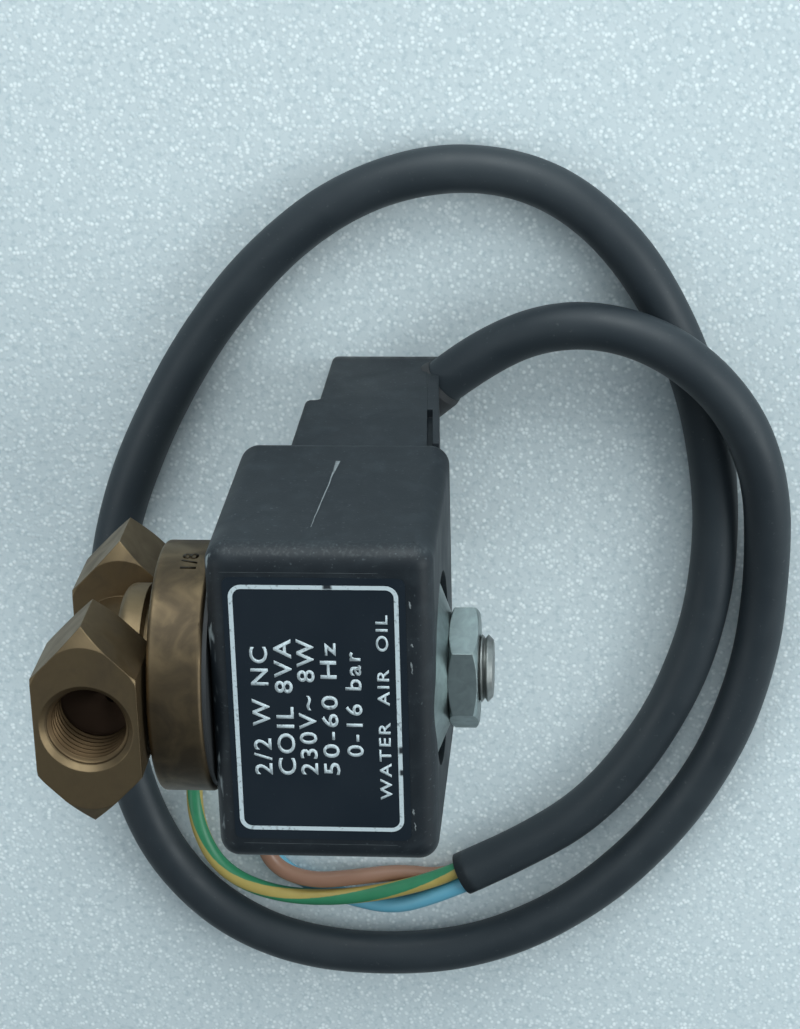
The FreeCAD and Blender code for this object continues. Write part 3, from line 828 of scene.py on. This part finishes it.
def build_marks(materials):
    """Scrapes on the coil: a long one on its +Y face, small ones beside the print and mould lines."""
    face_y = COIL_HIGH.y / MM
    material = materials["scratch"]
    up = (0, 0, 1)
    scratch = ragged_line((7.1, face_y, 40.8), (6.0, face_y, 61.6), 14, 0.05, 3)
    widths = [0.55, 0.42, 0.3, 0.2, 0.16, 0.14, 0.12, 0.16, 0.12, 0.1, 0.14, 0.12, 0.1, 0.08, 0.05]
    scrape("scratch_long", scratch, widths, (0, 1, 0), material)
    top = FACE_Z / MM
    chance = random.Random(11)
    for index, (x, y, length) in enumerate(((17.75, 13.2, 0.9), (17.9, 8.4, 0.5), (17.8, 5.0, 1.6),
                                            (17.6, -13.2, 0.8), (17.75, -15.2, 1.1), (16.95, 1.5, 0.4))):
        line = ragged_line((x, y, top), (x - 0.15, y + length, top), 6, 0.07, index)
        widths = [0.05] + [chance.uniform(0.08, 0.26) for _ in range(5)] + [0.05]
        scrape("scuff_%d" % (index + 1), line, widths, up, material)
    for index, (y, x0, x1) in enumerate(((-17.25, -2.6, 15.6), (17.5, -3.8, 14.2))):
        line = ragged_line((x0, y, top), (x1, y, top), 30, 0.02, index + 20)
        widths = [0.02] + [chance.uniform(0.03, 0.07) for _ in range(29)] + [0.02]
        scrape("mould_line_%d" % (index + 1), line, widths, up, materials["mould_line"])


def build_stamp(material):
    """Generic port size on the flange's rim, following its curve on the +Y side."""
    radius = FLANGE_R + 0.015 * MM
    curve = bpy.data.curves.new("port_stamp", "FONT")
    curve.body = "1/8"
    curve.space_character = 1.15
    curve.resolution_u = 4
    curve.offset = 0.025
    obj = bpy.data.objects.new("port_stamp", curve)
    bpy.context.scene.collection.objects.link(obj)
    bpy.context.view_layer.update()
    flat = bpy.data.meshes.new_from_object(obj.evaluated_get(bpy.context.evaluated_depsgraph_get()))
    bpy.data.objects.remove(obj)
    scale = 2.6 * MM
    middle = (min(v.co.x for v in flat.vertices) + max(v.co.x for v in flat.vertices)) / 2
    work = bmesh.new()
    work.from_mesh(flat)
    bpy.data.meshes.remove(flat)
    bmesh.ops.remove_doubles(work, verts=work.verts, dist=1e-6)
    raised = bmesh.ops.extrude_face_region(work, geom=work.faces[:])
    tops = {item for item in raised["geom"] if isinstance(item, bmesh.types.BMVert)}
    for vertex in work.verts:
        angle = STAMP_ANGLE + (vertex.co.x - middle) * scale / radius
        reach = radius if vertex in tops else radius - 0.06 * MM
        vertex.co = Vector((STAMP_X - vertex.co.y * scale, INLET.y + reach * math.sin(angle),
                            AXIS_Z + reach * math.cos(angle)))
    bmesh.ops.recalc_face_normals(work, faces=work.faces)
    mesh = bpy.data.meshes.new("port_stamp")
    work.to_mesh(mesh)
    work.free()
    piece("port_stamp", mesh, material, "valve", smooth=False)


# ---------------------------------------------------------------- camera, lights and floor


def aim_camera():
    """Camera almost above the valve, a little towards +Y, with the picture's up along +Y."""
    place = Vector((39.3, 130.1, 322.8)) * MM
    target = Vector((15.7, 19.3, 55.0)) * MM
    upward = Vector((0.0244, 1, 0))
    back = (place - target).normalized()
    right = upward.cross(back).normalized()
    up = back.cross(right)
    data = bpy.data.cameras.new("camera")
    data.sensor_fit = "HORIZONTAL"
    data.sensor_width = 36.0
    data.lens = 112.5
    data.clip_start = 0.01
    camera = bpy.data.objects.new("camera", data)
    camera.matrix_world = Matrix.Translation(place) @ Matrix((right, up, back)).transposed().to_4x4()
    bpy.context.scene.collection.objects.link(camera)
    bpy.context.scene.camera = camera


def softbox(name, place, target, size, power, colour):
    """Rectangular area light at a place, turned to the target."""
    data = bpy.data.lights.new(name, "AREA")
    data.shape = "RECTANGLE"
    data.size = size[0]
    data.size_y = size[1]
    data.energy = power
    data.color = colour
    lamp = bpy.data.objects.new(name, data)
    lamp.location = place
    lamp.rotation_euler = (Vector(target) - Vector(place)).to_track_quat("-Z", "Y").to_euler()
    bpy.context.scene.collection.objects.link(lamp)


def light_studio():
    """Window light from +Y, weaker light from the other sides and a surround that is darker towards -Y."""
    centre = (0.01, -0.01, 0.02)
    cool = (0.885, 0.968, 0.985)
    softbox("key", (0.08, 0.70, 0.31), centre, (0.75, 0.45), 5.1, cool)
    softbox("fill", (-0.62, -0.10, 0.55), centre, (0.5, 0.5), 1.3, cool)
    softbox("side", (0.66, 0.0, 0.38), centre, (0.5, 0.4), 3.2, cool)
    softbox("high", (0.15, 0.56, 0.82), centre, (0.5, 0.5), 0.8, cool)
    world = bpy.data.worlds.new("studio")
    world.use_nodes = True
    nodes, links = world.node_tree.nodes, world.node_tree.links
    direction = nodes.new("ShaderNodeTexCoord")
    split = nodes.new("ShaderNodeSeparateXYZ")
    level = nodes.new("ShaderNodeMapRange")
    links.new(direction.outputs["Generated"], split.inputs["Vector"])
    links.new(split.outputs["Y"], level.inputs["Value"])
    for socket, value in (("From Min", -0.5), ("From Max", 0.8), ("To Min", 0.22), ("To Max", 0.54)):
        level.inputs[socket].default_value = value
    background = nodes["Background"]
    background.inputs["Color"].default_value = (0.74, 0.88, 0.96, 1)
    links.new(level.outputs["Result"], background.inputs["Strength"])
    bpy.context.scene.world = world
    bpy.context.scene.view_settings.view_transform = "Standard"


def lay_floor():
    half = 3.0
    corners = [(-half, -half, 0), (half, -half, 0), (half, half, 0), (-half, half, 0)]
    mesh = mesh_from("floor", corners, [(0, 1, 2, 3)])
    floor = bpy.data.objects.new("floor", mesh)
    mesh.materials.append(floor_material())
    bpy.context.scene.collection.objects.link(floor)


# ---------------------------------------------------------------- assembly


def paint(node, material):
    """Gives a CAD node its material."""
    obj = frame["nodes"][node]
    obj.data.materials.clear()
    obj.data.materials.append(material)


steel = plated_steel("steel_plain", (0.60, 0.61, 0.62), 0.30)
zinc = plated_steel("zinc_plating", (0.345, 0.405, 0.405), 0.33)
black_rubber = soft_plastic("black_rubber", (0.018, 0.019, 0.021), (0.028, 0.030, 0.032), 0.55)
moulding = moulded_plastic()
materials = {
    "panel": panel_plastic(),
    "ink": print_ink(),
    "scratch": scratch_mark("scratch_grey", (0.075, 0.085, 0.090), (0.26, 0.285, 0.295)),
    "mould_line": scratch_mark("mould_line_grey", (0.026, 0.032, 0.037), (0.070, 0.080, 0.086)),
    "sheath": sheath_plastic(),
    "brown": soft_plastic("core_brown", (0.21, 0.105, 0.065), (0.30, 0.16, 0.105), 0.34),
    "blue": soft_plastic("core_blue", (0.10, 0.33, 0.45), (0.16, 0.43, 0.56), 0.34),
    "green_yellow": striped_plastic(),
    "copper": copper(),
}
body_brass = brass("brass_turned", (5.0, 0.35, 0.35))
CAD_LOOKS = {
    "coil_moulding": moulding,
    "terminal_cover": moulding,
    "cable_gland": black_rubber,
    "yoke_frame": steel,
    "yoke_end_plate": steel,
    "flux_sleeve": steel,
    "bobbin": soft_plastic("natural_nylon", (0.50, 0.46, 0.36), (0.58, 0.54, 0.44), 0.45),
    "winding": materials["copper"],
    "terminal_posts": brass("brass_stamped", (1, 1, 1)),
    "inner_leads": materials["brown"],
    "dished_washer": plated_steel("washer_zinc", (0.285, 0.335, 0.335), 0.36),
    "stud_seal": black_rubber,
    "hex_nut": zinc,
    "port_body": body_brass,
    "seat_nozzle": body_brass,
    "tube_oring": black_rubber,
    "guide_tube": steel,
    "fixed_core": plated_steel("stud_steel", (0.34, 0.35, 0.34), 0.36),
    "shading_ring": materials["copper"],
    "plunger": steel,
    "plunger_seal": black_rubber,
    "flange_gasket": black_rubber,
}
for node, look in CAD_LOOKS.items():
    paint(node, look)

build_lead(materials)
# a lighter painted shade in the bores here, so the thread crests look bright
thread_brass = brass("brass_thread", (0.3, 0.3, 4.0), bore_shade=(0.105, 0.068, 0.037))
port_thread("inlet_thread", INLET, thread_brass)
port_thread("outlet_thread", OUTLET, thread_brass)
build_spring(steel)
build_print(materials)
build_stamp(brass("brass_stamp", (1, 1, 1), 0.35))
build_marks(materials)

lay_floor()
light_studio()
aim_camera()
